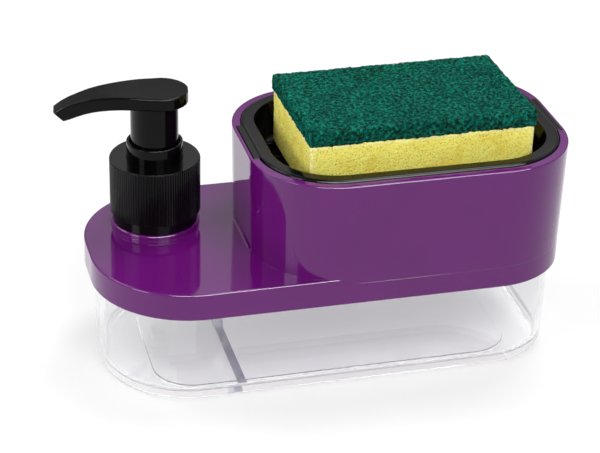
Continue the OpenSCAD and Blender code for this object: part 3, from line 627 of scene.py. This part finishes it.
def makeFibres(s, material, pad):
    draw = random.Random(s["seed"])
    middle, half, turn = spongeFrame("scouring_pad")
    points, faces = [], []
    border = Vector((half.x, half.y)) + Vector((1, 1)) * half.z * s["border"]
    for _ in range(s["count"]):
        step = draw.uniform(*s["length"]) * mm / (s["steps"] - 1)
        heading = draw.uniform(0, 2 * math.pi)
        curl = draw.uniform(-1, 1) * s["curl"]
        rise = draw.uniform(*s["rise"]) * mm
        if draw.random() < s["sideShare"]:  # round the sides
            along, side = draw.uniform(-1, 1), draw.choice((-1, 1))
            past = 1 + draw.uniform(0.0, s["down"]) * half.z / half.x
            x, y = along * half.x, side * half.y + side * (past - 1) * half.x
            if draw.random() < s["endShare"]:
                x, y = side * past * half.x, along * half.y
        else:
            x, y = draw.uniform(-1, 1) * half.x, draw.uniform(-1, 1) * half.y
        path = []
        for i in range(s["steps"]):
            bow = math.sin(math.pi * i / (s["steps"] - 1)) * rise + s["lift"] * mm
            share = overEdge(max(-border.x, min(border.x, x)), max(-border.y, min(border.y, y)), half)
            p, out = roundedPoint(share, half, padSet["round"] * mm, lambda z: padSet["round"] * mm)
            path.append(middle + turn @ (p + out * bow))
            x, y = x + math.cos(heading) * step, y + math.sin(heading) * step
            heading += curl * step
        if all((path[i + 1] - path[i]).length > s["least"] * mm for i in range(len(path) - 1)):
            fibreTube(path, draw.uniform(*s["radius"]) * mm, s["tip"], points, faces)
    piece = meshPiece("scourFibres", points, faces, material, "sponge")
    piece.parent = pad
    return piece


# Threads of the neck and the cap

threadSet = {
    "axis": (-64.55, 17.4), "pitch": 4.23, "neckRadius": 14.58, "neckCrest": 15.45, "capRadius": 15.82,
    "capCrest": 14.95, "root": 1.7, "crest": 0.7, "neckFrom": 56.4, "neckTurns": 2.6, "capFrom": 54.29,
    "capTurns": 2.4, "steps": 72, "taper": 0.12, "leastFull": 0.2,
}


def makeThread(name, s, radius, crest, foot, turns, material, body):
    count = int(s["steps"] * turns)
    points, faces = [], []
    for i in range(count + 1):
        t = i / count
        full = min(1.0, t / s["taper"], (1 - t) / s["taper"])
        tip = radius + (crest - radius) * full
        angle = 2 * math.pi * turns * t
        z = foot + s["pitch"] * turns * t
        for reach, lift in ((radius, -s["root"] / 2), (tip, -s["crest"] / 2), (tip, s["crest"] / 2),
                            (radius, s["root"] / 2)):
            points.append(Vector(((s["axis"][0] + reach * math.cos(angle)) * mm,
                                  (s["axis"][1] + reach * math.sin(angle)) * mm,
                                  (z + lift * max(full, s["leastFull"])) * mm)))
    for i in range(count):
        for k in range(4):
            a, b = 4 * i + k, 4 * i + (k + 1) % 4
            faces.append((a, a + 4, b + 4, b))
    faces.append((0, 1, 2, 3))
    faces.append(tuple(4 * count + k for k in (3, 2, 1, 0)))
    if crest < radius:
        faces = [tuple(reversed(f)) for f in faces]
    return meshPiece(name, points, faces, material, body)


scene.view_settings.view_transform = "Standard"
makeCamera(cameraSet)
print("camera ready")

makeSky(studioSet)
makeFloor(studioSet)
for lampName, lampSet in lampSets.items():
    makeLamp(lampName, lampSet)
print("studio ready")

mouldFlow = makeMouldFlow(flowSet)
fineGrain = makeFineGrain()
lidPurple = makeLidPurple(mouldFlow)
trayBlack = makeBlack("trayBlack", mouldFlow)
headBlack = makeBlack("headBlack", mouldFlow)
capSatin = makeGrained("capSatin", fineGrain)
pumpWhite = makeGrained("pumpWhite", fineGrain)
gasketGrey = makeGrained("gasketGrey", fineGrain)
tankClear = makeClear("tankClear", mouldFlow)
baffleClear = makeClear("baffleClear", mouldFlow)
wireSteel = makeSteel(steelSet)
foamYellow = makeFoamMaterial(foamSet)
# painted light: the pad and its loose fibres are shaded and lit copies of one green finish, the fibres on top
# lifted lighter
padGreen = makePadMaterial(padSet, "padGreen", -0.04)
fibreGreen = makePadMaterial(padSet, "fibreGreen", 0.22)
finishes = {
    "lid": lidPurple, "sponge_tray": trayBlack, "screw_cap": capSatin, "locking_ring": headBlack,
    "pump_head": headBlack, "tank": tankClear, "tank_baffle": baffleClear, "neck_gasket": gasketGrey,
    "pump_cylinder": pumpWhite, "dip_tube": pumpWhite, "piston_seal": pumpWhite, "stem_plug": pumpWhite,
    "stem": pumpWhite, "inlet_ball": wireSteel, "return_spring": wireSteel,
}
for nodeName, finish in finishes.items():
    dress(nodeName, finish)
print("finishes ready")

foamBlock = makeFoam(foamSet, foamYellow)
print("foam ready:", len(foamBlock.data.polygons), "faces")
scourPad = makePad(padSet, padGreen)
scourFibres = makeFibres(fibreSet, fibreGreen, scourPad)
print("pad ready:", len(scourPad.data.polygons), "and", len(scourFibres.data.polygons), "faces")

makeThread("neckThread", threadSet, threadSet["neckRadius"], threadSet["neckCrest"], threadSet["neckFrom"],
           threadSet["neckTurns"], lidPurple, "lid")
makeThread("capThread", threadSet, threadSet["capRadius"], threadSet["capCrest"], threadSet["capFrom"],
           threadSet["capTurns"], capSatin, "cap")
print("threads ready")
